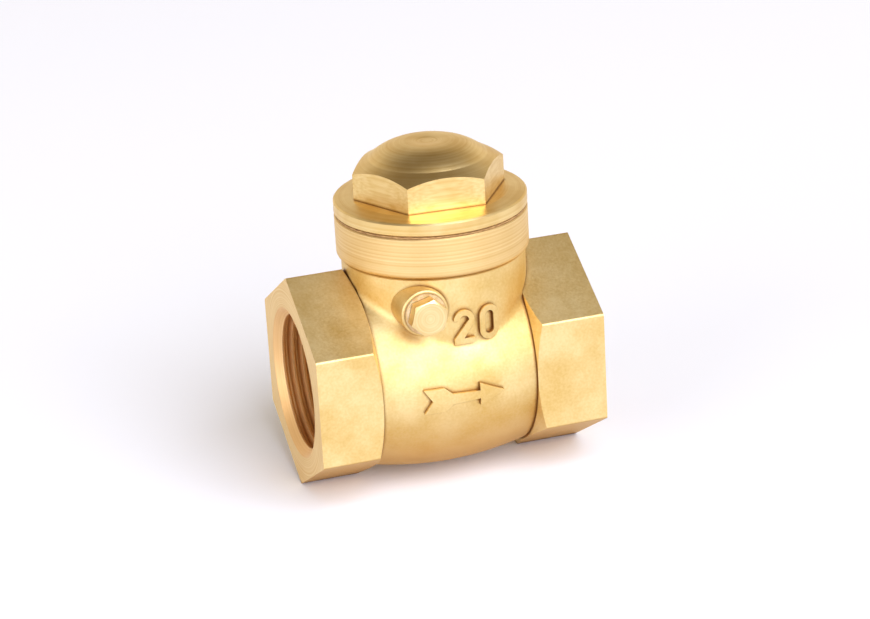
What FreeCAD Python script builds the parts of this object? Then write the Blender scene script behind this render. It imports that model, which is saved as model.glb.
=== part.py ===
import FreeCAD, Part
import math
import os

from FreeCAD import Vector

# Swing check valve with female pipe threads, nominal bore 20 mm, cast and turned brass.
# Millimetres. The origin is the centre of the inlet end face. +X is the flow, +Z points to
# the bonnet cap, and -Y is the side with the hinge pin plug, the size mark and the arrow.

X, Y, Z = Vector(1, 0, 0), Vector(0, 1, 0), Vector(0, 0, 1)

# ---- driving dimensions -----------------------------------------------------------------

# Body casting, outside
wrench_flats = 34.0          # across the flats of the two hexagonal ends
neck_radius = 16.25          # round chamber neck that carries the bonnet
inlet_run = 10.8             # inlet end face to the side of the neck
outlet_run = 9.0             # side of the neck to the outlet end face
inlet_hex_length = 10.2      # end face to the end of the flats' ridges
outlet_hex_length = 12.6     # end face to the shoulder behind the flats
hex_chamfer_angle = 25.0     # mean slope of the turned corners on each hexagon's inner end
hex_edge_round = 0.5         # cast radius along the hexagon's ridges
hex_lap = 0.9                # depth under the flats where the barrel's stub ends inside a hexagon
barrel_past_neck = 2.05      # widest part of the barrel over the neck's radius
barrel_bulge = 1.7           # widest part over the barrel's ends
barrel_run_on = 8.0          # how far the barrel runs on inside each hexagon
neck_blend = 2.4             # cast radius between neck and barrel
collar_proud = 0.75          # turned ring at the top of the neck, over the neck's radius
collar_bottom = 21.05        # height above the flow axis
collar_top = 28.5
collar_round = 0.8
collar_flare = 0.25          # the neck widens by this under the collar
collar_flare_height = 0.35
edge_break = 0.3             # chamfer on turned edges
past = 1.0                   # how far a cutter runs past the face that it cuts

# Pipe threads at both ends: G 3/4, modelled as ring grooves
pipe_major_radius = 13.22
inlet_crest_radius = 12.06   # the thread's limits are 12.06 to 12.33; the outlet is tapped
outlet_crest_radius = 12.25  # on a slightly larger core
pipe_pitch = 1.814
inlet_thread_depth = 10.6
outlet_thread_depth = 10.6
mouth_radius = 13.4          # countersink at each end face

# Waterway
chamber_wall = 1.6           # barrel wall outside the chamber, at the barrel's ends
web_thickness = 3.2          # wall between inlet thread and chamber
chamber_chamfer = 1.5
chamber_end_room = 0.4       # from the end of the chamber to the outlet hexagon's shoulder
throat_radius = 12.6         # relief behind the outlet thread, through that shoulder
neck_wall = 3.1
seat_bore_radius = 9.0
seat_land_width = 1.6        # width of the raised ring around that bore
seat_stand = 3.8             # how far the ring stands into the chamber
seat_land_round = 0.3
seat_moat = 0.4              # from the seat ring to the edge of the chamber's flat

# Bonnet thread M28 x 1.5, modelled as ring grooves that clear each other
bonnet_bore_step = 0.1       # crests of the thread over the neck's bore
bonnet_pitch = 1.5
bonnet_groove = 0.7
bonnet_thread_length = 7.0
bonnet_countersink = 0.5
screw_gap = 0.1              # radial clearance of the parts that unscrew
groove_share = 0.8           # depth of a male groove over that of its female one

# Bonnet cap and its gasket
gasket_thickness = 0.3
gasket_inset = 0.15          # gasket edge set back from the flange edge
flange_thickness = 2.4
flange_rise = 0.45           # the flange's top slopes up by this towards the hexagon
flange_shelf = 0.4           # flat around the hexagon's corners
flange_ledge = 5.2           # edge of the flange to the hexagon's flats
cap_corner_height = 4.6      # flange top to the lowest point of the corner chamfer
cap_crown = 4.4              # from there to the middle of the crown
cap_chamfer_angle = 30.0
cap_turn = -3.0              # where the hexagon comes to rest, degrees about +Z
cap_wall = 2.9               # skirt wall and crown thickness
cap_crown_share = 0.88       # crown radius over the radius across the flats
cap_crown_knee = 0.7         # where the crown has risen by three quarters, over its radius
cap_crown_eye = 0.15         # flat spot in the crown's middle over the crown's radius
cap_cavity_slope = (2.5, 3.5)  # height and width of the slope at the top of its hollow
skirt_chamfer = 0.5
skirt_runout = 0.6           # plain stretch between the thread and the flange
skirt_room = 0.4             # from the foot of the body's thread to the end of the skirt

# Hinge pin and the boss and plug that hold it
pin_radius = 1.5
pin_past_seat = 2.25         # pin axis, downstream of the seat's face
pin_height = 15.6            # pin axis above the flow axis
pin_gap = 0.05               # radial clearance of the pin in its holes
boss_radius = 4.2            # at the boss face
boss_draft = 2.0             # degrees
boss_stand = 0.75            # face of the boss beyond the neck's radius
rear_boss_stand = 0.35
boss_round = 0.35
plug_countersink = 0.3
plug_bore_radius = 2.6       # M6 x 0.75, modelled as ring grooves
plug_pitch = 0.75
plug_groove = 0.35
plug_thread_length = 3.9
plug_flats = 5.9
plug_head = 2.5
plug_turn = 15.0             # where the head comes to rest, degrees about the plug
plug_gasket_radius = 3.6
plug_gasket_thickness = 0.4
plug_end_room = 0.1          # from the end of the plug to the end of its thread
pin_end_room = 0.25          # free length at each end of the pin
rear_hole_depth = 2.7        # blind pin hole behind the chamber wall

# Disc, its facing and its fixings
seat_gap = 0.03              # facing to seat when closed
facing_overlap = 0.3         # facing beyond the edge of the seat ring
facing_thickness = 2.0
holder_rim = 0.6
holder_recess = 1.5
holder_plate = 1.9
holder_chamfer = 0.5
washer_radius = 5.2          # facing retaining washer
washer_thickness = 0.8
washer_gap = 0.12            # radial play of the washer and the facing on the screw
screw_head_radius = 2.7
screw_head = 1.6
screw_slot = 0.7
screw_slot_depth = 0.8
screw_tip_room = 0.4         # from the end of the screw to the end of its hole
small_chamfer = 0.4          # screw head and retaining washer
stud_radius = 2.1            # shoulder that turns in the hanger eye
stud_thread_radius = 1.75
stud_wall = 0.55             # stud around the screw hole
stud_hole_room = 1.6         # how far the screw hole stops short of the shoulder's end
stud_tip = 0.6
swivel_gap = 0.2             # play along the stud on each side of the eye
eye_gap = 0.08               # radial play of the stud in the eye
nut_flats = 6.4
nut_height = 2.1
nut_washer_radius = 3.7
nut_washer_thickness = 0.6
thread_gap = 0.02            # radial gap of threads that stay tight

# Hanger, the arm between pin and disc
hub_radius = 3.1
hub_side_gap = 1.1           # hub end to the chamber wall, at the hub's upstream side
arm_thickness = 2.2
arm_top_width = 9.4
arm_foot_z = 1.6             # lower edge of the arm, where it runs into the eye
arm_foot_share = 0.92        # half width there over the eye's radius
eye_radius = 4.1

# Cast marks, raised from the surface
mark_height = 0.7
mark_reach = 40.0            # the outlines are cut this deep before they meet the surface
size_mark_height = 6.2       # digits of the nominal bore
size_mark_half_width = 1.85
size_mark_stroke = 1.0
size_mark_pitch = 4.7        # from one digit to the next
size_mark_x = 2.1            # middle of the mark, downstream of the bonnet axis
size_mark_z = 11.9
arrow_length = 14.6
arrow_x = -1.4               # middle of the arrow, from the bonnet axis
arrow_z = -0.2

# ---- places worked out from them --------------------------------------------------------

bonnet_x = inlet_run + neck_radius
outlet_x = bonnet_x + neck_radius + outlet_run
flat = wrench_flats / 2
corner = flat / math.cos(math.pi / 6)
inlet_shoulder_x = inlet_hex_length + (corner - flat) * math.tan(math.radians(hex_chamfer_angle))
outlet_shoulder_x = outlet_x - outlet_hex_length
barrel_radius = neck_radius + barrel_past_neck
barrel_end_radius = barrel_radius - barrel_bulge
collar_radius = neck_radius + collar_proud

chamber_radius = barrel_end_radius - chamber_wall
chamber_start_x = inlet_thread_depth + web_thickness
chamber_end_x = outlet_shoulder_x - chamber_end_room
neck_bore_radius = neck_radius - neck_wall
bonnet_bore_radius = neck_bore_radius + bonnet_bore_step
seat_x = chamber_start_x + seat_stand
seat_land_radius = seat_bore_radius + seat_land_width
facing_radius = seat_land_radius + facing_overlap

pin_x = seat_x + pin_past_seat
pin_back = bonnet_x - pin_x
boss_y = -neck_radius - boss_stand
rear_boss_y = neck_radius + rear_boss_stand
inner_y = math.sqrt(neck_bore_radius ** 2 - pin_back ** 2)
plug_head_y = boss_y - plug_gasket_thickness
plug_tip_y = boss_y + plug_thread_length - plug_end_room

gasket_z = collar_top
flange_z = gasket_z + gasket_thickness
flange_top_z = flange_z + flange_thickness
cap_hex_z = flange_top_z + flange_rise
cap_flats = 2 * (collar_radius - flange_ledge)
cap_corner_z = cap_hex_z + cap_corner_height
skirt_z = collar_top - bonnet_thread_length + skirt_room

facing_x = seat_x + seat_gap
holder_x = facing_x + facing_thickness - holder_recess
holder_plate_x = facing_x + facing_thickness
holder_back_x = holder_plate_x + holder_plate
arm_x = holder_back_x + swivel_gap
shoulder_end_x = arm_x + arm_thickness + swivel_gap
screw_hole_radius = stud_thread_radius - stud_wall
washer_bore_radius = screw_hole_radius + washer_gap
nut_x = shoulder_end_x + nut_washer_thickness
stud_end_x = nut_x + nut_height + stud_tip
hub_edge = pin_back + hub_radius
hub_half = math.sqrt(neck_bore_radius ** 2 - hub_edge ** 2) - hub_side_gap


# ---- shared shapes ----------------------------------------------------------------------

def turned(profile, origin, along):
    """Solid of revolution. profile is (distance along the axis, radius) points; a point given
    as a pair of points is the middle and the end of an arc."""
    across = Z if abs(along.z) < 0.5 else X

    def place(point):
        return origin + along * point[0] + across * point[1]

    edges = []
    last = place(profile[0])
    for point in profile[1:] + [profile[0]]:
        if isinstance(point[0], tuple):
            end = place(point[1])
            edges.append(Part.Arc(last, place(point[0]), end).toShape())
        else:
            end = place(point)
            if end.distanceToPoint(last) < 1e-7:
                continue
            edges.append(Part.makeLine(last, end))
        last = end
    return Part.Face(Part.Wire(edges)).revolve(origin, along, 360)


def crowned(start, end):
    """Arc for a turned profile, from start to end with its centre on the axis, so that it turns
    part of a ball: the rounded chamfer on a hexagon's corners."""
    (x0, r0), (x1, r1) = start, end
    centre = (x1 ** 2 - x0 ** 2 + r1 ** 2 - r0 ** 2) / (2 * (x1 - x0))
    radius = math.hypot(x0 - centre, r0)
    angle = (math.atan2(r0, x0 - centre) + math.atan2(r1, x1 - centre)) / 2
    return (centre + radius * math.cos(angle), radius * math.sin(angle)), end


def rod(radius, start, end, along, at=Vector(0, 0, 0)):
    return Part.makeCylinder(radius, end - start, at + along * start, along)


def hexagon(flats, start, end, along, at, turn=0.0):
    """Hexagonal bar. turn 0 puts a ridge on +Z, or on +X where the bar stands along Z."""
    across = Z if abs(along.z) < 0.5 else X
    side = along.cross(across)
    reach = flats / 2 / math.cos(math.pi / 6)
    ring = []
    for k in range(7):
        a = math.radians(60 * k + turn)
        ring.append(at + along * start + across * (reach * math.cos(a)) + side * (reach * math.sin(a)))
    return Part.Face(Part.makePolygon(ring)).extrude(along * (end - start))


def thread_profile(start, end, crest, root, pitch):
    """Outline of ring grooves from start to end: flat crests, flat roots, sloped flanks."""
    land = pitch / 6
    flank = pitch / 2 - land
    points = []
    count = int((end - start - land) / pitch)
    for k in range(count):
        at = start + land + k * pitch
        points += [(at, crest), (at + flank, root), (at + flank + land, root),
                   (at + 2 * flank + land, crest)]
    return points


def slab(x0, x1, y0, y1, z0, z1):
    return Part.makeBox(x1 - x0, y1 - y0, z1 - z0, Vector(x0, y0, z0))


# ---- body casting -----------------------------------------------------------------------

def hexagonal_end(face_x, shoulder_x):
    """Hexagonal end with ridges up and down, rounded ridges, and its inner corners turned
    off to part of a ball."""
    low, high = min(face_x, shoulder_x), max(face_x, shoulder_x)
    bar = hexagon(wrench_flats, low, high, X, Vector(0, 0, 0))
    ridges = [e for e in bar.Edges if abs(e.BoundBox.XLength - (high - low)) < 1e-6]
    bar = bar.makeFillet(hex_edge_round, ridges)
    run = (corner - flat) * math.tan(math.radians(hex_chamfer_angle))
    inward = 1 if shoulder_x > face_x else -1
    rim, root = (shoulder_x - inward * run, corner), (shoulder_x, flat)
    ball = turned([(face_x, 0), (face_x, corner + past), (rim[0], corner + past), rim,
                   crowned(rim, root), (shoulder_x, 0)], Vector(0, 0, 0), X)
    return bar.common(ball)


def barrel_profile(proud):
    """Arc through the widest point and through the end radius at both shoulders."""
    middle = (inlet_shoulder_x + outlet_shoulder_x) / 2
    half = (outlet_shoulder_x - inlet_shoulder_x) / 2
    drop = barrel_radius - barrel_end_radius
    bend = (half ** 2 + drop ** 2) / (2 * drop)
    reach = half + barrel_run_on
    end = barrel_radius - bend + math.sqrt(bend ** 2 - reach ** 2) + proud
    return [(middle - reach, 0), (middle - reach, end),
            ((middle, barrel_radius + proud), (middle + reach, end)), (middle + reach, 0)]


def barrel():
    """Bulging barrel between the hexagons, run on into them so that the neck stands on it."""
    return turned(barrel_profile(0), Vector(0, 0, 0), X)


def neck():
    at = Vector(bonnet_x, 0, 0)
    under = collar_bottom - collar_flare_height
    mid_arc = collar_round * (1 - math.sqrt(0.5))
    return turned([(0, 0), (0, neck_radius), (under, neck_radius),
                   (collar_bottom, neck_radius + collar_flare),
                   (collar_bottom, collar_radius - collar_round),
                   ((collar_bottom + mid_arc, collar_radius - mid_arc),
                    (collar_bottom + collar_round, collar_radius)),
                   (collar_top - edge_break, collar_radius),
                   (collar_top, collar_radius - edge_break), (collar_top, 0)], at, Z)


def neck_on_barrel():
    """Barrel and neck as one casting, with the cast radius where they meet."""
    both = barrel().fuse(neck())
    foot = []
    for edge in both.Edges:
        middle = edge.valueAt((edge.FirstParameter + edge.LastParameter) / 2)
        reach = math.hypot(middle.x - bonnet_x, middle.y)
        curved = edge.BoundBox.ZLength > 0.5
        if curved and abs(reach - neck_radius) < 0.01 and 0 < middle.z < collar_bottom - past:
            foot.append(edge)
    return both.makeFillet(neck_blend, foot)


def stub_cutter(shoulder_x, inward):
    """Ring that turns the barrel's stub inside a hexagon down below the flats."""
    out = barrel_radius + past
    back = shoulder_x - inward * (barrel_run_on + past)
    stub = flat - hex_lap
    return turned([(back, out), (back, stub), (shoulder_x, stub), (shoulder_x, out)],
                  Vector(0, 0, 0), X)


def boss(face_y, deep_y):
    """Cast lug around the hinge pin, drafted, with a rounded rim."""
    length = abs(deep_y - face_y)
    grown = boss_radius + length * math.tan(math.radians(boss_draft))
    way = Y if deep_y > face_y else Y * -1
    lug = Part.makeCone(boss_radius, grown, length, Vector(pin_x, face_y, pin_height), way)
    rim = [e for e in lug.Edges if abs(e.BoundBox.YMax - face_y) < 1e-6
           and abs(e.BoundBox.YMin - face_y) < 1e-6 and len(e.Vertexes) == 1]
    return lug.makeFillet(boss_round, rim)


def pipe_bore(face_x, crest_radius, depth, inward):
    """Threaded pipe socket: countersunk mouth, ring grooves, plain run-out."""
    lead = mouth_radius - crest_radius
    outline = [(-past, 0), (-past, mouth_radius), (0, mouth_radius), (lead, crest_radius)]
    outline += thread_profile(lead, depth - pipe_pitch / 2, crest_radius,
                              pipe_major_radius, pipe_pitch)
    outline += [(depth, crest_radius), (depth, 0)]
    return turned(outline, Vector(face_x, 0, 0), X * inward)


def bonnet_thread():
    """Threaded mouth of the neck, countersunk at the top."""
    start, end = collar_top - bonnet_thread_length, collar_top - bonnet_countersink
    outline = [(collar_top + past, 0), (collar_top + past, bonnet_bore_radius + bonnet_countersink),
               (collar_top, bonnet_bore_radius + bonnet_countersink), (end, bonnet_bore_radius)]
    rings = thread_profile(start, end, bonnet_bore_radius,
                           bonnet_bore_radius + bonnet_groove, bonnet_pitch)
    outline += rings[::-1] + [(start, bonnet_bore_radius), (start, 0)]
    return turned(outline, Vector(bonnet_x, 0, 0), Z)


def waterway():
    """Everything that is hollow: both sockets, seat bore, chamber, neck and bonnet thread."""
    bevel = chamber_chamfer
    moat_radius = seat_land_radius + seat_moat
    seat = rod(seat_bore_radius, inlet_thread_depth - past, seat_x + past, X)
    chamber = turned([(chamber_start_x, moat_radius), (chamber_start_x, chamber_radius - bevel),
                      (chamber_start_x + bevel, chamber_radius),
                      (chamber_end_x - bevel, chamber_radius),
                      (chamber_end_x, chamber_radius - bevel), (chamber_end_x, 0),
                      (seat_x, 0), (seat_x, seat_land_radius - seat_land_round),
                      (seat_x - seat_land_round, seat_land_radius)], Vector(0, 0, 0), X)
    shaft = rod(neck_bore_radius, 0, collar_top, Z, Vector(bonnet_x, 0, 0))
    shaft = shaft.cut(rod(moat_radius, 0, seat_x, X))
    throat = rod(throat_radius, chamber_end_x - past, outlet_x - outlet_thread_depth, X)
    sockets = [pipe_bore(0, inlet_crest_radius, inlet_thread_depth, 1),
               pipe_bore(outlet_x, outlet_crest_radius, outlet_thread_depth, -1)]
    return seat.fuse([chamber, shaft, throat] + sockets + [bonnet_thread()])


def pin_holes():
    """Threaded hole for the plug, pin hole behind it, and the blind hole on the far side."""
    at = Vector(pin_x, 0, pin_height)
    start, end = boss_y + plug_countersink, boss_y + plug_thread_length
    hole = rod(pin_radius + pin_gap, boss_y, inner_y + rear_hole_depth, Y, at)
    outline = [(boss_y - past, 0), (boss_y - past, plug_bore_radius + plug_countersink),
               (boss_y, plug_bore_radius + plug_countersink), (start, plug_bore_radius)]
    outline += thread_profile(start, end, plug_bore_radius,
                              plug_bore_radius + plug_groove, plug_pitch)
    outline += [(end, plug_bore_radius), (end, 0)]
    return hole.fuse(turned(outline, at, Y))


def digit_zero(x, z):
    """Upright 0 as a racetrack ring, extruded towards -Y from the flow axis plane."""
    def track(inset):
        r = size_mark_half_width - inset
        up = size_mark_height / 2 - size_mark_half_width
        sides = slab(x - r, x + r, -mark_reach, 0, z - up, z + up)
        top = rod(r, -mark_reach, 0, Y, Vector(x, 0, z + up))
        low = rod(r, -mark_reach, 0, Y, Vector(x, 0, z - up))
        return sides.fuse([top, low]).removeSplitter()

    return track(0).cut(track(size_mark_stroke))


def digit_two(x, z):
    """Upright 2: half ring on top, a straight diagonal, and a foot."""
    wide = size_mark_half_width
    stroke = size_mark_stroke
    top_z = z + size_mark_height / 2 - wide
    foot_z = z - size_mark_height / 2
    bowl = rod(wide, -mark_reach, 0, Y, Vector(x, 0, top_z))
    bowl = bowl.cut(rod(wide - stroke, -mark_reach, 0, Y, Vector(x, 0, top_z)))
    bowl = bowl.cut(slab(x - wide, x, -mark_reach, 0, top_z - wide, top_z))
    bowl = bowl.cut(slab(x, x + wide, -mark_reach, 0, top_z - wide, top_z - wide / 2))
    corners = [(wide, top_z - wide / 4), (wide - stroke, top_z), (-wide, foot_z + stroke),
               (-wide, foot_z), (stroke - wide, foot_z)]
    ring = [Vector(x + dx, 0, at_z) for dx, at_z in corners]
    tail = Part.Face(Part.makePolygon(ring + ring[:1])).extrude(Y * -mark_reach)
    foot = slab(x - wide, x + wide, -mark_reach, 0, foot_z, foot_z + stroke)
    return bowl.fuse([tail, foot])


def arrow(x, z):
    """Flow arrow: swallow tail, waisted shaft and a barbed head, pointing downstream."""
    length = arrow_length
    half = [(-0.50, 0.150), (-0.25, 0.150), (-0.15, 0.065), (0.19, 0.050), (0.19, 0.145),
            (0.50, 0.0)]
    upper = [Vector(x + length * u, 0, z + length * v) for u, v in half]
    notch = [Vector(x - length * 0.40, 0, z)]
    lower = [Vector(x + length * u, 0, z - length * v) for u, v in half[-2::-1]]
    ring = notch + upper + lower
    return Part.Face(Part.makePolygon(ring + ring[:1])).extrude(Y * -mark_reach)


def marks():
    """Raised marks: each outline is cut out of a skin that stands mark_height proud."""
    step = size_mark_pitch / 2
    skin = rod(neck_radius + mark_height, size_mark_z - size_mark_height,
               size_mark_z + size_mark_height, Z, Vector(bonnet_x, 0, 0))
    digits = digit_two(bonnet_x + size_mark_x - step, size_mark_z).fuse(
        digit_zero(bonnet_x + size_mark_x + step, size_mark_z))
    barrel_skin = turned(barrel_profile(mark_height), Vector(0, 0, 0), X)
    return digits.common(skin).fuse(arrow(bonnet_x + arrow_x, arrow_z).common(barrel_skin))


def body():
    shape = neck_on_barrel()
    shape = shape.cut([stub_cutter(inlet_shoulder_x, 1), stub_cutter(outlet_shoulder_x, -1)])
    shape = shape.fuse([neck(), hexagonal_end(0, inlet_shoulder_x),
                        hexagonal_end(outlet_x, outlet_shoulder_x)])
    lugs = [boss(boss_y, -inner_y), boss(rear_boss_y, inner_y), marks()]
    shape = shape.fuse(lugs)
    return shape.cut(waterway()).cut(pin_holes())


# ---- bonnet -----------------------------------------------------------------------------

def bonnet_cap():
    """Turned cap: hexagonal head, flange, and a threaded skirt that is hollow inside."""
    at = Vector(bonnet_x, 0, 0)
    outer = bonnet_bore_radius - screw_gap
    inner = outer - cap_wall
    root = outer - bonnet_groove * groove_share
    reach = cap_flats / 2 / math.cos(math.pi / 6)
    slope = math.tan(math.radians(cap_chamfer_angle))
    crown_r = cap_flats / 2 * cap_crown_share
    crown_z = cap_corner_z + (reach - crown_r) * slope
    corners = (cap_corner_z, reach), (crown_z, crown_r)
    top_z = max(cap_corner_z + cap_crown, crown_z + edge_break)
    rise = (top_z - crown_z) * 3 / 4
    rim = [(flange_z, outer), (flange_z, collar_radius - edge_break),
           (flange_z + edge_break, collar_radius), (flange_top_z - edge_break, collar_radius),
           (flange_top_z, collar_radius - edge_break), (cap_hex_z, reach + flange_shelf),
           (cap_hex_z, 0)]
    thread = thread_profile(skirt_z + skirt_chamfer, flange_z - skirt_runout, outer, root,
                            bonnet_pitch)
    shape = turned([(skirt_z, 0), (skirt_z, outer - skirt_chamfer),
                    (skirt_z + skirt_chamfer, outer)] + thread + rim, at, Z)
    head = hexagon(cap_flats, cap_hex_z - edge_break, top_z + past, Z, at, cap_turn)
    crown = turned([(cap_hex_z - past, 0), (cap_hex_z - past, reach + past),
                    (cap_corner_z, reach + past), corners[0], crowned(*corners),
                    ((crown_z + rise, crown_r * cap_crown_knee), (top_z, crown_r * cap_crown_eye)),
                    (top_z, 0)], at, Z)
    ceiling = cap_hex_z + cap_corner_height - cap_wall
    rise, width = cap_cavity_slope
    cavity = turned([(skirt_z - past, 0), (skirt_z - past, inner), (ceiling - rise, inner),
                     (ceiling, inner - width), (ceiling, 0)], at, Z)
    return shape.fuse(head.common(crown)).cut(cavity)


def cap_gasket():
    at = Vector(bonnet_x, 0, 0)
    ring = rod(collar_radius - gasket_inset, gasket_z, flange_z, Z, at)
    bore = bonnet_bore_radius + bonnet_countersink + screw_gap
    return ring.cut(rod(bore, gasket_z - past, flange_z + past, Z, at))


# ---- hinge pin and plug -----------------------------------------------------------------

def hinge_pin():
    at = Vector(pin_x, 0, pin_height)
    start, end = plug_tip_y + pin_end_room, inner_y + rear_hole_depth - pin_end_room
    nose = pin_radius - edge_break
    return turned([(start, 0), (start, nose), (start + edge_break, pin_radius),
                   (end - edge_break, pin_radius), (end, nose), (end, 0)], at, Y)


def pin_plug():
    """Hexagon-headed screw plug that closes the pin hole."""
    at = Vector(pin_x, 0, pin_height)
    outer = plug_bore_radius - screw_gap
    root = outer - plug_groove * groove_share
    reach = plug_flats / 2 / math.cos(math.pi / 6)
    front = plug_head_y - plug_head
    thread = thread_profile(boss_y, plug_tip_y - edge_break, outer, root, plug_pitch)
    shank = turned([(plug_head_y - edge_break, 0), (plug_head_y - edge_break, outer)] + thread
                   + [(plug_tip_y - edge_break, outer), (plug_tip_y, outer - edge_break),
                      (plug_tip_y, 0)], at, Y)
    head = hexagon(plug_flats, front, plug_head_y, Y, at, plug_turn)
    corners = (front, plug_flats / 2 - edge_break / 2), (front + edge_break, reach)
    rim = turned([(front, 0), corners[0], crowned(*corners), (front + edge_break, reach + past),
                  (plug_head_y, reach + past), (plug_head_y, 0)], at, Y)
    return shank.fuse(head.common(rim))


def plug_gasket():
    at = Vector(pin_x, 0, pin_height)
    ring = rod(plug_gasket_radius, plug_head_y, boss_y, Y, at)
    bore = plug_bore_radius + screw_gap
    return ring.cut(rod(bore, plug_head_y - past, boss_y + past, Y, at))


# ---- swinging parts ---------------------------------------------------------------------

def hanger():
    """Hub on the pin, flat arm behind the disc, and the eye for the disc's stud."""
    at = Vector(pin_x, 0, pin_height)
    hub = rod(hub_radius, -hub_half, hub_half, Y, at)
    eye = rod(eye_radius, arm_x, arm_x + arm_thickness, X)
    top, low = arm_top_width / 2, eye_radius * arm_foot_share
    outline = [Vector(arm_x, -top, pin_height), Vector(arm_x, top, pin_height),
               Vector(arm_x, low, arm_foot_z), Vector(arm_x, -low, arm_foot_z)]
    arm = Part.Face(Part.makePolygon(outline + outline[:1])).extrude(X * arm_thickness)
    shape = hub.fuse([eye, arm])
    shape = shape.cut(rod(stud_radius + eye_gap, arm_x - past, arm_x + arm_thickness + past, X))
    return shape.cut(rod(pin_radius + pin_gap, -hub_half - past, hub_half + past, Y, at))


def disc_holder():
    """Turned disc with a recess for the facing, a stud behind, and a tapped centre."""
    outer = facing_radius + holder_rim
    recess = facing_radius + thread_gap
    hole_end_x = shoulder_end_x - stud_hole_room
    return turned([(hole_end_x, 0), (hole_end_x, screw_hole_radius),
                   (holder_plate_x, screw_hole_radius), (holder_plate_x, recess),
                   (holder_x, recess), (holder_x, outer), (holder_back_x - holder_chamfer, outer),
                   (holder_back_x, outer - holder_chamfer), (holder_back_x, stud_radius),
                   (shoulder_end_x, stud_radius), (shoulder_end_x, stud_thread_radius),
                   (stud_end_x - edge_break, stud_thread_radius),
                   (stud_end_x, stud_thread_radius - edge_break), (stud_end_x, 0)],
                  Vector(0, 0, 0), X)


def seat_disc():
    return turned([(facing_x, washer_bore_radius), (facing_x, facing_radius - edge_break),
                   (facing_x + edge_break, facing_radius), (holder_plate_x, facing_radius),
                   (holder_plate_x, washer_bore_radius)], Vector(0, 0, 0), X)


def retaining_washer():
    front = facing_x - washer_thickness
    return turned([(front, washer_bore_radius), (front, washer_radius - small_chamfer),
                   (front + small_chamfer, washer_radius), (facing_x, washer_radius),
                   (facing_x, washer_bore_radius)], Vector(0, 0, 0), X)


def retaining_screw():
    """Slotted screw that holds the washer and the facing to the disc."""
    under = facing_x - washer_thickness
    front = under - screw_head
    shank = screw_hole_radius - thread_gap
    tip = shoulder_end_x - stud_hole_room - screw_tip_room
    shape = turned([(front, 0), (front, screw_head_radius - small_chamfer),
                    (front + small_chamfer, screw_head_radius), (under, screw_head_radius),
                    (under, shank), (tip, shank), (tip, 0)], Vector(0, 0, 0), X)
    half, wide = screw_slot / 2, screw_head_radius + past
    return shape.cut(slab(front - past, front + screw_slot_depth, -wide, wide, -half, half))


def hanger_washer():
    ring = rod(nut_washer_radius, shoulder_end_x, nut_x, X)
    bore = stud_thread_radius + thread_gap
    return ring.cut(rod(bore, shoulder_end_x - past, nut_x + past, X))


def hanger_nut():
    end = nut_x + nut_height
    reach = nut_flats / 2 / math.cos(math.pi / 6)
    nut = hexagon(nut_flats, nut_x, end, X, Vector(0, 0, 0), 30)
    near = (nut_x, nut_flats / 2), (nut_x + edge_break, reach)
    far = (end - edge_break, reach), (end, nut_flats / 2)
    rim = turned([(nut_x, 0), near[0], crowned(*near), (nut_x + edge_break, reach + past),
                  (end - edge_break, reach + past), far[0], crowned(*far), (end, 0)],
                 Vector(0, 0, 0), X)
    bore = stud_thread_radius + thread_gap
    return nut.common(rim).cut(rod(bore, nut_x - past, end + past, X))


# ---- export -----------------------------------------------------------------------------

pieces = {
    "valve_body": body,
    "bonnet_cap": bonnet_cap,
    "cap_gasket": cap_gasket,
    "hinge_pin": hinge_pin,
    "pin_plug": pin_plug,
    "plug_gasket": plug_gasket,
    "hanger_arm": hanger,
    "disc_holder": disc_holder,
    "seat_disc": seat_disc,
    "retaining_washer": retaining_washer,
    "retaining_screw": retaining_screw,
    "hanger_washer": hanger_washer,
    "hanger_nut": hanger_nut,
}

os.makedirs("parts", exist_ok=True)
for name, make in pieces.items():
    shape = make().removeSplitter()
    solid = shape.Solids[0] if len(shape.Solids) == 1 else shape
    solid.exportStep(os.path.join("parts", name + ".step"))
    print(name, len(shape.Solids), "solid", shape.isValid(), round(shape.Volume, 1), "mm3")
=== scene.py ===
import bpy
import math
from mathutils import Matrix, Vector


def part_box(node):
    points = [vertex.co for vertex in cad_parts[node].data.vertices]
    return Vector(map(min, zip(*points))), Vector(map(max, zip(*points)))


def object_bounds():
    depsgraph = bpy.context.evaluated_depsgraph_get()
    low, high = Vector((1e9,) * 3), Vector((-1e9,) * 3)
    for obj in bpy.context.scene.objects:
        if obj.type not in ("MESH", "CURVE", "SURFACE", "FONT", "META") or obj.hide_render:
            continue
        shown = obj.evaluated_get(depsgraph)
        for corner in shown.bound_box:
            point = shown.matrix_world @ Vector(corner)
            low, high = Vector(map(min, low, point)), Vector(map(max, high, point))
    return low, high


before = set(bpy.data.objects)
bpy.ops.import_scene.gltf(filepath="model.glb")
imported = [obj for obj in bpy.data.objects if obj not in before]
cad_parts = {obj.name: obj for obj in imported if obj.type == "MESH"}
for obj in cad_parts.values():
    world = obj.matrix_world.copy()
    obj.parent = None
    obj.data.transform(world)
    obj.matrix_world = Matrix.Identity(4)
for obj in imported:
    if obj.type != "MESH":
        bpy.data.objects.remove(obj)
cad_low, cad_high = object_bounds()
mm = 0.001

# ---- valve body ---------------------------------------------------------------------------
# One brass casting: two hexagonal pipe ends, a bulging barrel between them and the round neck
# for the bonnet. The outside is blasted to an even satin after casting; the collar, the end
# faces, the sockets and the seat are then turned, which leaves them finely ringed.


def linear(hex_colour):
    """An sRGB hex colour as linear red, green, blue and alpha."""
    parts = [int(hex_colour[i:i + 2], 16) / 255 for i in (1, 3, 5)]
    return [c / 12.92 if c <= 0.04045 else ((c + 0.055) / 1.055) ** 2.4 for c in parts] + [1.0]


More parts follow.
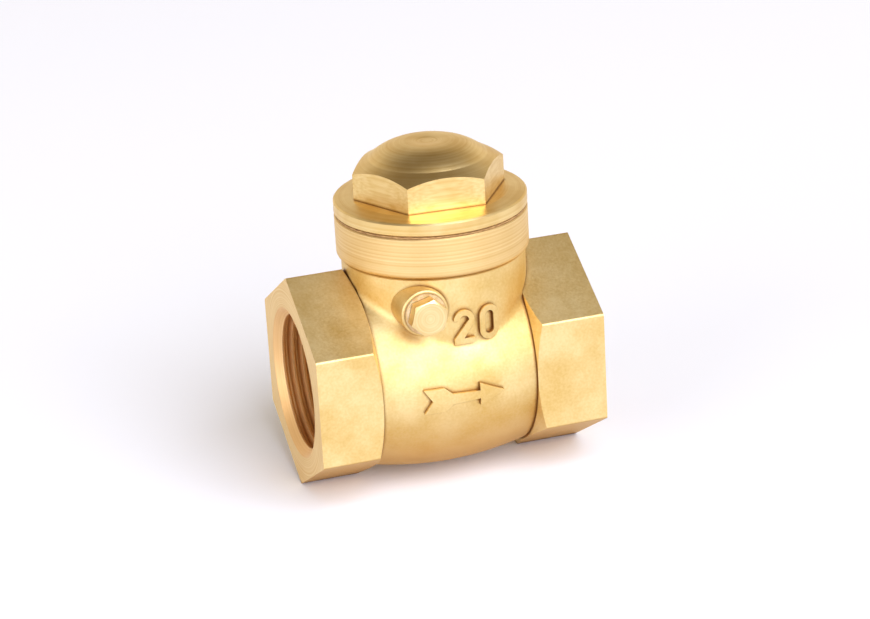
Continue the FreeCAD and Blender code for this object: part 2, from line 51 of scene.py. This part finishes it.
def node(tree, kind, settings=None, links=None):
    """Adds a shader node. settings gives its properties and input values by name or number,
    links gives the output sockets that feed its inputs."""
    made = tree.nodes.new(kind)
    for name, value in (settings or {}).items():
        if isinstance(name, str) and hasattr(made, name):
            setattr(made, name, value)
        else:
            made.inputs[name].default_value = value
    for name, socket in (links or {}).items():
        tree.links.new(socket, made.inputs[name])
    return made


def new_material(name):
    """An empty material: its node tree and its output node."""
    made = bpy.data.materials.new(name)
    made.use_nodes = True
    made.node_tree.nodes.clear()
    return made, made.node_tree, node(made.node_tree, "ShaderNodeOutputMaterial")


def paint(node_name, made):
    """Gives the node this material alone."""
    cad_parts[node_name].data.materials.clear()
    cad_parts[node_name].data.materials.append(made)


def calc(tree, operation, first, second):
    """Output of a Math node; each operand is a socket or a number."""
    settings, links = {"operation": operation}, {}
    for slot, operand in enumerate((first, second)):
        (settings if isinstance(operand, (int, float)) else links)[slot] = operand
    return node(tree, "ShaderNodeMath", settings, links).outputs["Value"]


def object_place(tree):
    """Place on the object, in metres."""
    return node(tree, "ShaderNodeTexCoord").outputs["Object"]


def xyz(tree, vector):
    """The X, Y and Z outputs of a vector."""
    return node(tree, "ShaderNodeSeparateXYZ", {}, {"Vector": vector}).outputs


def noise(tree, vector, pitch, detail):
    """Noise between 0 and 1 whose grains are about pitch (in metres) apart."""
    return node(tree, "ShaderNodeTexNoise", {"Scale": 1 / pitch, "Detail": detail},
                {"Vector": vector}).outputs["Fac"]


def blended(tree, share, first, second):
    """Number that is first where share is 0 and second where it is 1."""
    settings, links = {"data_type": "FLOAT"}, {2: first, 3: second}
    (settings if isinstance(share, (int, float)) else links)[0] = share
    return node(tree, "ShaderNodeMix", settings, links).outputs[0]


def two_tone(tree, factor, low, high, deep, pale):
    """deep where factor is low or less, pale where it is high or more."""
    tint = node(tree, "ShaderNodeValToRGB", {}, {"Fac": factor})
    for stop, position, colour in zip(tint.color_ramp.elements, (low, high), (deep, pale)):
        stop.position = position
        stop.color = linear(colour)
    return tint.outputs["Color"]


def mixed(tree, factor, first, second):
    """first where factor is 0, second where it is 1; each colour is a socket or a hex value."""
    settings, links = {"data_type": "RGBA"}, {0: factor}
    for slot, colour in ((6, first), (7, second)):
        if isinstance(colour, str):
            settings[slot] = linear(colour)
        else:
            links[slot] = colour
    return node(tree, "ShaderNodeMix", settings, links).outputs[2]


def ranged(tree, value, low, high, to_low, to_high):
    """value mapped from low..high to to_low..to_high, and kept within them."""
    return node(tree, "ShaderNodeMapRange",
                {"From Min": low, "From Max": high, "To Min": to_low, "To Max": to_high},
                {"Value": value}).outputs["Result"]


def painted_crease_shade(tree, reach):
    """0 in the open, up to the strength set below in corners narrower than reach: painted shade,
    brown darkening put into corners and creases where shade falls."""
    shade_strength = 0.85
    shade = node(tree, "ShaderNodeAmbientOcclusion", {"samples": 8, "Distance": reach})
    return ranged(tree, shade.outputs["AO"], 0.86, 0.50, 0.0, shade_strength)


def bump(tree, height, strength, distance, under=None):
    """Bump whose full height is distance, in metres; strength is a socket or a number, and
    under is the bump that it lies on."""
    settings, links = {"Distance": distance}, {"Height": height}
    (settings if isinstance(strength, (int, float)) else links)["Strength"] = strength
    if under:
        links["Normal"] = under
    return node(tree, "ShaderNodeBump", settings, links).outputs["Normal"]


def metal(tree, output, colour, rough_range, rough_by, normal):
    """Bare metal whose roughness runs over rough_range as rough_by goes from 0 to 1."""
    rough = ranged(tree, rough_by, 0.0, 1.0, *rough_range)
    bare = node(tree, "ShaderNodeBsdfPrincipled", {"Metallic": 1.0},
                {"Base Color": colour, "Roughness": rough, "Normal": normal})
    tree.links.new(bare.outputs["BSDF"], output.inputs["Surface"])


brass_pale = "#EED69C"
brass_deep = "#DCBA72"
# brown of the painted shade in corners and creases
shade_brown = "#8A5A2A"
body_low, body_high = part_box("valve_body")
bonnet_x = sum(corner.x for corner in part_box("bonnet_cap")) / 2


def body_brass():
    """Satin blasted casting with a light grain; turned zones are told by where they lie, and
    their rings follow the distance from the flow axis or, on the collar, the height."""
    socket_radius, socket_depth = 13.45 * mm, 10.7 * mm
    collar_bottom = 21.0 * mm
    face_depth = 0.02 * mm
    made, tree, output = new_material("cast_brass_blasted")
    place = object_place(tree)
    axes = xyz(tree, place)
    off_axis = node(tree, "ShaderNodeCombineXYZ", {}, {"X": axes["Y"], "Y": axes["Z"]})
    radius = node(tree, "ShaderNodeVectorMath", {"operation": "LENGTH"},
                  {0: off_axis.outputs["Vector"]}).outputs["Value"]
    middle = (body_low.x + body_high.x) / 2
    from_middle = calc(tree, "ABSOLUTE", calc(tree, "SUBTRACT", axes["X"], middle), 0.0)
    from_end = calc(tree, "SUBTRACT", body_high.x - middle, from_middle)
    face = calc(tree, "LESS_THAN", from_end, face_depth)
    socket = calc(tree, "MULTIPLY", calc(tree, "LESS_THAN", radius, socket_radius),
                  calc(tree, "LESS_THAN", from_end, socket_depth))
    collar = calc(tree, "GREATER_THAN", axes["Z"], collar_bottom)
    cut = calc(tree, "MAXIMUM", face, calc(tree, "MAXIMUM", socket, collar))
    across = blended(tree, collar, radius, axes["Z"])
    # the real feed marks are about 0.1 mm apart; drawn at 0.35 mm so that they show
    line = node(tree, "ShaderNodeCombineXYZ", {}, {"X": across}).outputs["Vector"]
    rings = noise(tree, line, 0.35 * mm, 3.0)
    grain = noise(tree, place, 0.45 * mm, 4.0)
    cloud = noise(tree, place, 7 * mm, 2.0)
    colour = two_tone(tree, blended(tree, 0.35, cloud, grain), 0.35, 0.65,
                      brass_deep, brass_pale)
    stripes = two_tone(tree, rings, 0.35, 0.65, "#DDB470", "#F4DAA4")
    colour = mixed(tree, calc(tree, "MULTIPLY", cut, 0.75), colour, stripes)
    colour = mixed(tree, calc(tree, "MULTIPLY", socket, 0.6), colour, "#EDBE86")
    # painted shade: faces turned down are darkened by their direction to a deeper yellow,
    # standing in for the shade under the casting
    facing = xyz(tree, node(tree, "ShaderNodeNewGeometry").outputs["Normal"])["Z"]
    under = ranged(tree, facing, -0.05, -0.75, 0.0, 0.8)
    outside = calc(tree, "SUBTRACT", 1.0, socket)
    colour = mixed(tree, calc(tree, "MULTIPLY", under, outside), colour, "#B98A40")
    # painted shade: brown darkening in corners and creases, weaker inside the sockets
    crease_shade_mask = calc(tree, "MULTIPLY", painted_crease_shade(tree, 0.9 * mm),
                calc(tree, "SUBTRACT", 1.0, calc(tree, "MULTIPLY", socket, 0.7)))
    colour = mixed(tree, crease_shade_mask, colour, shade_brown)
    ripple = bump(tree, noise(tree, place, 3.5 * mm, 2.0), 0.5, 0.06 * mm)
    pits = bump(tree, noise(tree, place, 0.3 * mm, 3.0), 0.6, 0.035 * mm, ripple)
    turned = bump(tree, rings, calc(tree, "MULTIPLY", cut, 0.6), 0.03 * mm, pits)
    metal(tree, output, colour, (0.44, 0.58), grain, turned)
    return made


paint("valve_body", body_brass())

# ---- hinge pin ----------------------------------------------------------------------------
# A ground stainless steel pin, 3 mm thick, that lies across the neck. Grinding leaves fine
# scratches around it.


def turned_metal(name, centre, along, pale, deep, rough_range, ring, depth):
    """Metal turned or ground about the line through centre: rings of the given pitch that
    depend only on the distance from that line and along it, over a faint uneven tone."""
    made, tree, output = new_material(name)
    place = object_place(tree)
    from_axis = node(tree, "ShaderNodeVectorMath", {"operation": "SUBTRACT", 1: centre},
                     {0: place}).outputs["Vector"]
    across = [0.0 if a else 1.0 for a in along]
    flat = node(tree, "ShaderNodeVectorMath", {"operation": "MULTIPLY", 1: across},
                {0: from_axis}).outputs["Vector"]
    radius = node(tree, "ShaderNodeVectorMath", {"operation": "LENGTH"},
                  {0: flat}).outputs["Value"]
    height = node(tree, "ShaderNodeVectorMath", {"operation": "DOT_PRODUCT", 1: along},
                  {0: place}).outputs["Value"]
    cut = node(tree, "ShaderNodeCombineXYZ", {}, {"X": radius, "Y": height}).outputs["Vector"]
    rings = noise(tree, cut, ring, 3.0)
    tone = blended(tree, 0.5, noise(tree, place, 6 * mm, 2.0), rings)
    colour = two_tone(tree, tone, 0.38, 0.62, deep, pale)
    # painted shade: brown darkening in corners and creases
    colour = mixed(tree, painted_crease_shade(tree, 0.6 * mm), colour, shade_brown)
    grit = bump(tree, noise(tree, place, 0.25 * mm, 2.0), 0.3, 0.015 * mm)
    metal(tree, output, colour, rough_range, rings, bump(tree, rings, 0.5, depth, grit))
    return made


pin_low, pin_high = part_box("hinge_pin")
pin_middle = (pin_low + pin_high) / 2
paint("hinge_pin", turned_metal("ground_stainless", pin_middle, (0, 1, 0), "#D6D4CF", "#B9B7B1",
                                (0.18, 0.30), 0.3 * mm, 0.01 * mm))

# ---- hanger arm ---------------------------------------------------------------------------
# Small brass casting that carries the disc: rough from the mould, only its bores are machined,
# and dulled to a browner tone by standing in water.


def rough_cast(name, pale, deep):
    """As it comes from the sand mould: grains of sand and darker patches."""
    made, tree, output = new_material(name)
    place = object_place(tree)
    sand = noise(tree, place, 0.8 * mm, 5.0)
    patches = noise(tree, place, 3 * mm, 3.0)
    colour = two_tone(tree, blended(tree, 0.4, patches, sand), 0.38, 0.62, deep, pale)
    # painted shade: brown darkening in corners and creases
    colour = mixed(tree, painted_crease_shade(tree, 1.0 * mm), colour, shade_brown)
    metal(tree, output, colour, (0.42, 0.60), sand, bump(tree, sand, 0.7, 0.09 * mm))
    return made


paint("hanger_arm", rough_cast("cast_brass_rough", "#D9B673", "#B58B4C"))

# ---- disc ---------------------------------------------------------------------------------
# The holder with its stud is turned from bar; a nitrile facing is pressed into its recess and
# held by a turned washer and a slotted screw; a washer and a nut keep the stud in the hanger.

disc_middle = sum(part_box("disc_holder"), Vector()) / 2
flow_line = Vector((0, disc_middle.y, disc_middle.z))
inner_brass = turned_metal("turned_brass_inside", flow_line, (1, 0, 0), "#E4C484", "#C39A57",
                           (0.26, 0.40), 0.3 * mm, 0.02 * mm)
for name in ("disc_holder", "retaining_washer", "hanger_washer"):
    paint(name, inner_brass)
bright_brass = turned_metal("bright_brass_fixings", flow_line, (1, 0, 0), "#F0D596", "#D6AE67",
                            (0.20, 0.32), 0.2 * mm, 0.012 * mm)
for name in ("retaining_screw", "hanger_nut"):
    paint(name, bright_brass)


def nitrile():
    """Black moulded rubber: faint flow lines around the mould's centre and pale bloom."""
    made, tree, output = new_material("nitrile_rubber")
    place = object_place(tree)
    bloom = noise(tree, place, 1.5 * mm, 4.0)
    colour = two_tone(tree, bloom, 0.45, 0.75, "#17181A", "#3A3B3C")
    flow = node(tree, "ShaderNodeTexNoise", {"Scale": 1 / (1.2 * mm), "Detail": 3.0,
                                             "Distortion": 1.5}, {"Vector": place})
    normal = bump(tree, flow.outputs["Fac"], 0.4, 0.03 * mm)
    rubber = node(tree, "ShaderNodeBsdfPrincipled", {"Roughness": 0.62},
                  {"Base Color": colour, "Normal": normal})
    tree.links.new(rubber.outputs["BSDF"], output.inputs["Surface"])
    return made


paint("seat_disc", nitrile())

# ---- pin plug and its ring ----------------------------------------------------------------
# The plug closes the pin hole: a hexagon-headed screw turned from bar, brighter than the
# casting. A white PTFE ring seals it against the boss.

plug_middle = sum(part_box("pin_plug"), Vector()) / 2
paint("pin_plug", turned_metal("turned_brass_plug", plug_middle, (0, 1, 0), "#F6DFA8", "#E6C686",
                               (0.32, 0.44), 0.3 * mm, 0.02 * mm))


def ptfe():
    """Waxy white plastic with the scalloped marks of the punch that cut it."""
    made, tree, output = new_material("ptfe_white")
    place = object_place(tree)
    haze = noise(tree, place, 1.0 * mm, 3.0)
    colour = two_tone(tree, haze, 0.35, 0.7, "#C2A06A", "#E2CDA6")
    normal = bump(tree, noise(tree, place, 0.4 * mm, 2.0), 0.3, 0.02 * mm)
    wax = node(tree, "ShaderNodeBsdfPrincipled",
               {"Roughness": 0.42, "Subsurface Weight": 0.2, "Subsurface Scale": 0.4 * mm},
               {"Base Color": colour, "Normal": normal})
    tree.links.new(wax.outputs["BSDF"], output.inputs["Surface"])
    return made


paint("plug_gasket", ptfe())

# ---- cap gasket ---------------------------------------------------------------------------
# Flat ring of pressed fibre between the collar and the cap's flange; only its brown edge
# shows, with the fibres lying flat in the sheet.


def fibre():
    """Sheet pressed from fibres that lie flat in it, so its edge is streaked lengthways."""
    made, tree, output = new_material("pressed_fibre")
    place = object_place(tree)
    lying = node(tree, "ShaderNodeVectorMath", {"operation": "MULTIPLY", 1: (1, 1, 6)},
                 {0: place}).outputs["Vector"]
    strands = noise(tree, lying, 0.9 * mm, 5.0)
    colour = two_tone(tree, strands, 0.38, 0.66, "#8A6438", "#BE9760")
    sheet = node(tree, "ShaderNodeBsdfPrincipled", {"Roughness": 0.85},
                 {"Base Color": colour, "Normal": bump(tree, strands, 0.6, 0.05 * mm)})
    tree.links.new(sheet.outputs["BSDF"], output.inputs["Surface"])
    return made


paint("cap_gasket", fibre())

# ---- bonnet cap ---------------------------------------------------------------------------
# Turned from hexagon bar: crowned top, six drawn flats, a round flange and a threaded skirt.
# The lathe leaves rings on the crown and the flange.

cap_line = Vector((bonnet_x, 0, 0))
paint("bonnet_cap", turned_metal("turned_brass_cap", cap_line, (0, 0, 1), "#F2D79A", "#E0BC74",
                                 (0.34, 0.46), 0.4 * mm, 0.03 * mm))

# ---- floor, light and camera --------------------------------------------------------------
# A plain white table. Large soft boxes stand in front, the room behind is dimmer and warmer,
# so faces turned to the front are pale and faces turned up are deeper yellow.

floor_z = cad_low.z
reach = 4.0
floor_mesh = bpy.data.meshes.new("floor")
floor_mesh.from_pydata([(-reach, -reach, floor_z), (reach, -reach, floor_z),
                        (reach, reach, floor_z), (-reach, reach, floor_z)], [], [(0, 1, 2, 3)])
floor = bpy.data.objects.new("floor", floor_mesh)
bpy.context.scene.collection.objects.link(floor)
paper, tree, output = new_material("floor_paper")
matt = node(tree, "ShaderNodeBsdfDiffuse", {"Color": linear("#FAFBFF")})
tree.links.new(matt.outputs["BSDF"], output.inputs["Surface"])
floor_mesh.materials.append(paper)


def softbox(name, azimuth, elevation, distance, size, watts, colour):
    """Square area light that faces the middle of the valve."""
    light = bpy.data.lights.new(name, "AREA")
    light.shape = "SQUARE"
    light.size = size
    light.energy = watts
    light.color = linear(colour)[:3]
    a, e = math.radians(azimuth), math.radians(elevation)
    away = Vector((math.sin(a) * math.cos(e), -math.cos(a) * math.cos(e), math.sin(e)))
    lamp = bpy.data.objects.new(name, light)
    lamp.location = (cad_low + cad_high) / 2 + away * distance
    lamp.rotation_mode = "QUATERNION"
    lamp.rotation_quaternion = away.to_track_quat("Z", "Y")
    bpy.context.scene.collection.objects.link(lamp)


softbox("key", 16, 42, 4.5, 3.8, 252.0, "#E8EEFF")
softbox("front", 6, 10, 1.6, 0.8, 4.0, "#E6ECFF")
softbox("left", -60, 16, 1.8, 1.0, 12.0, "#E6ECFF")

world = bpy.data.worlds.new("studio")
world.use_nodes = True
sky = world.node_tree
height = xyz(sky, node(sky, "ShaderNodeTexCoord").outputs["Generated"])["Z"]
shade = two_tone(sky, height, 0.42, 0.85, "#FAEDD8", "#5C4C32")
sky.links.new(shade, sky.nodes["Background"].inputs["Color"])
bpy.context.scene.world = world
bpy.context.scene.view_settings.view_transform = "Standard"

azimuth, elevation, roll = (math.radians(a) for a in (-16.828, 21.168, -3.374))
distance = 503.4 * mm
aim = Vector((26.766 * mm, 0, 9.172 * mm))
back = Vector((math.sin(azimuth) * math.cos(elevation),
               -math.cos(azimuth) * math.cos(elevation), math.sin(elevation)))
right = (-back).cross(Vector((0, 0, 1))).normalized()
up = right.cross(-back)
tilted_right = right * math.cos(roll) + up * math.sin(roll)
tilted_up = up * math.cos(roll) - right * math.sin(roll)
camera = bpy.data.objects.new("camera", bpy.data.cameras.new("camera"))
camera.data.sensor_width = 36
camera.data.lens = 117.36
camera.matrix_world = Matrix((tilted_right, tilted_up, back)).transposed().to_4x4()
camera.location = aim + back * distance
bpy.context.scene.collection.objects.link(camera)
bpy.context.scene.camera = camera
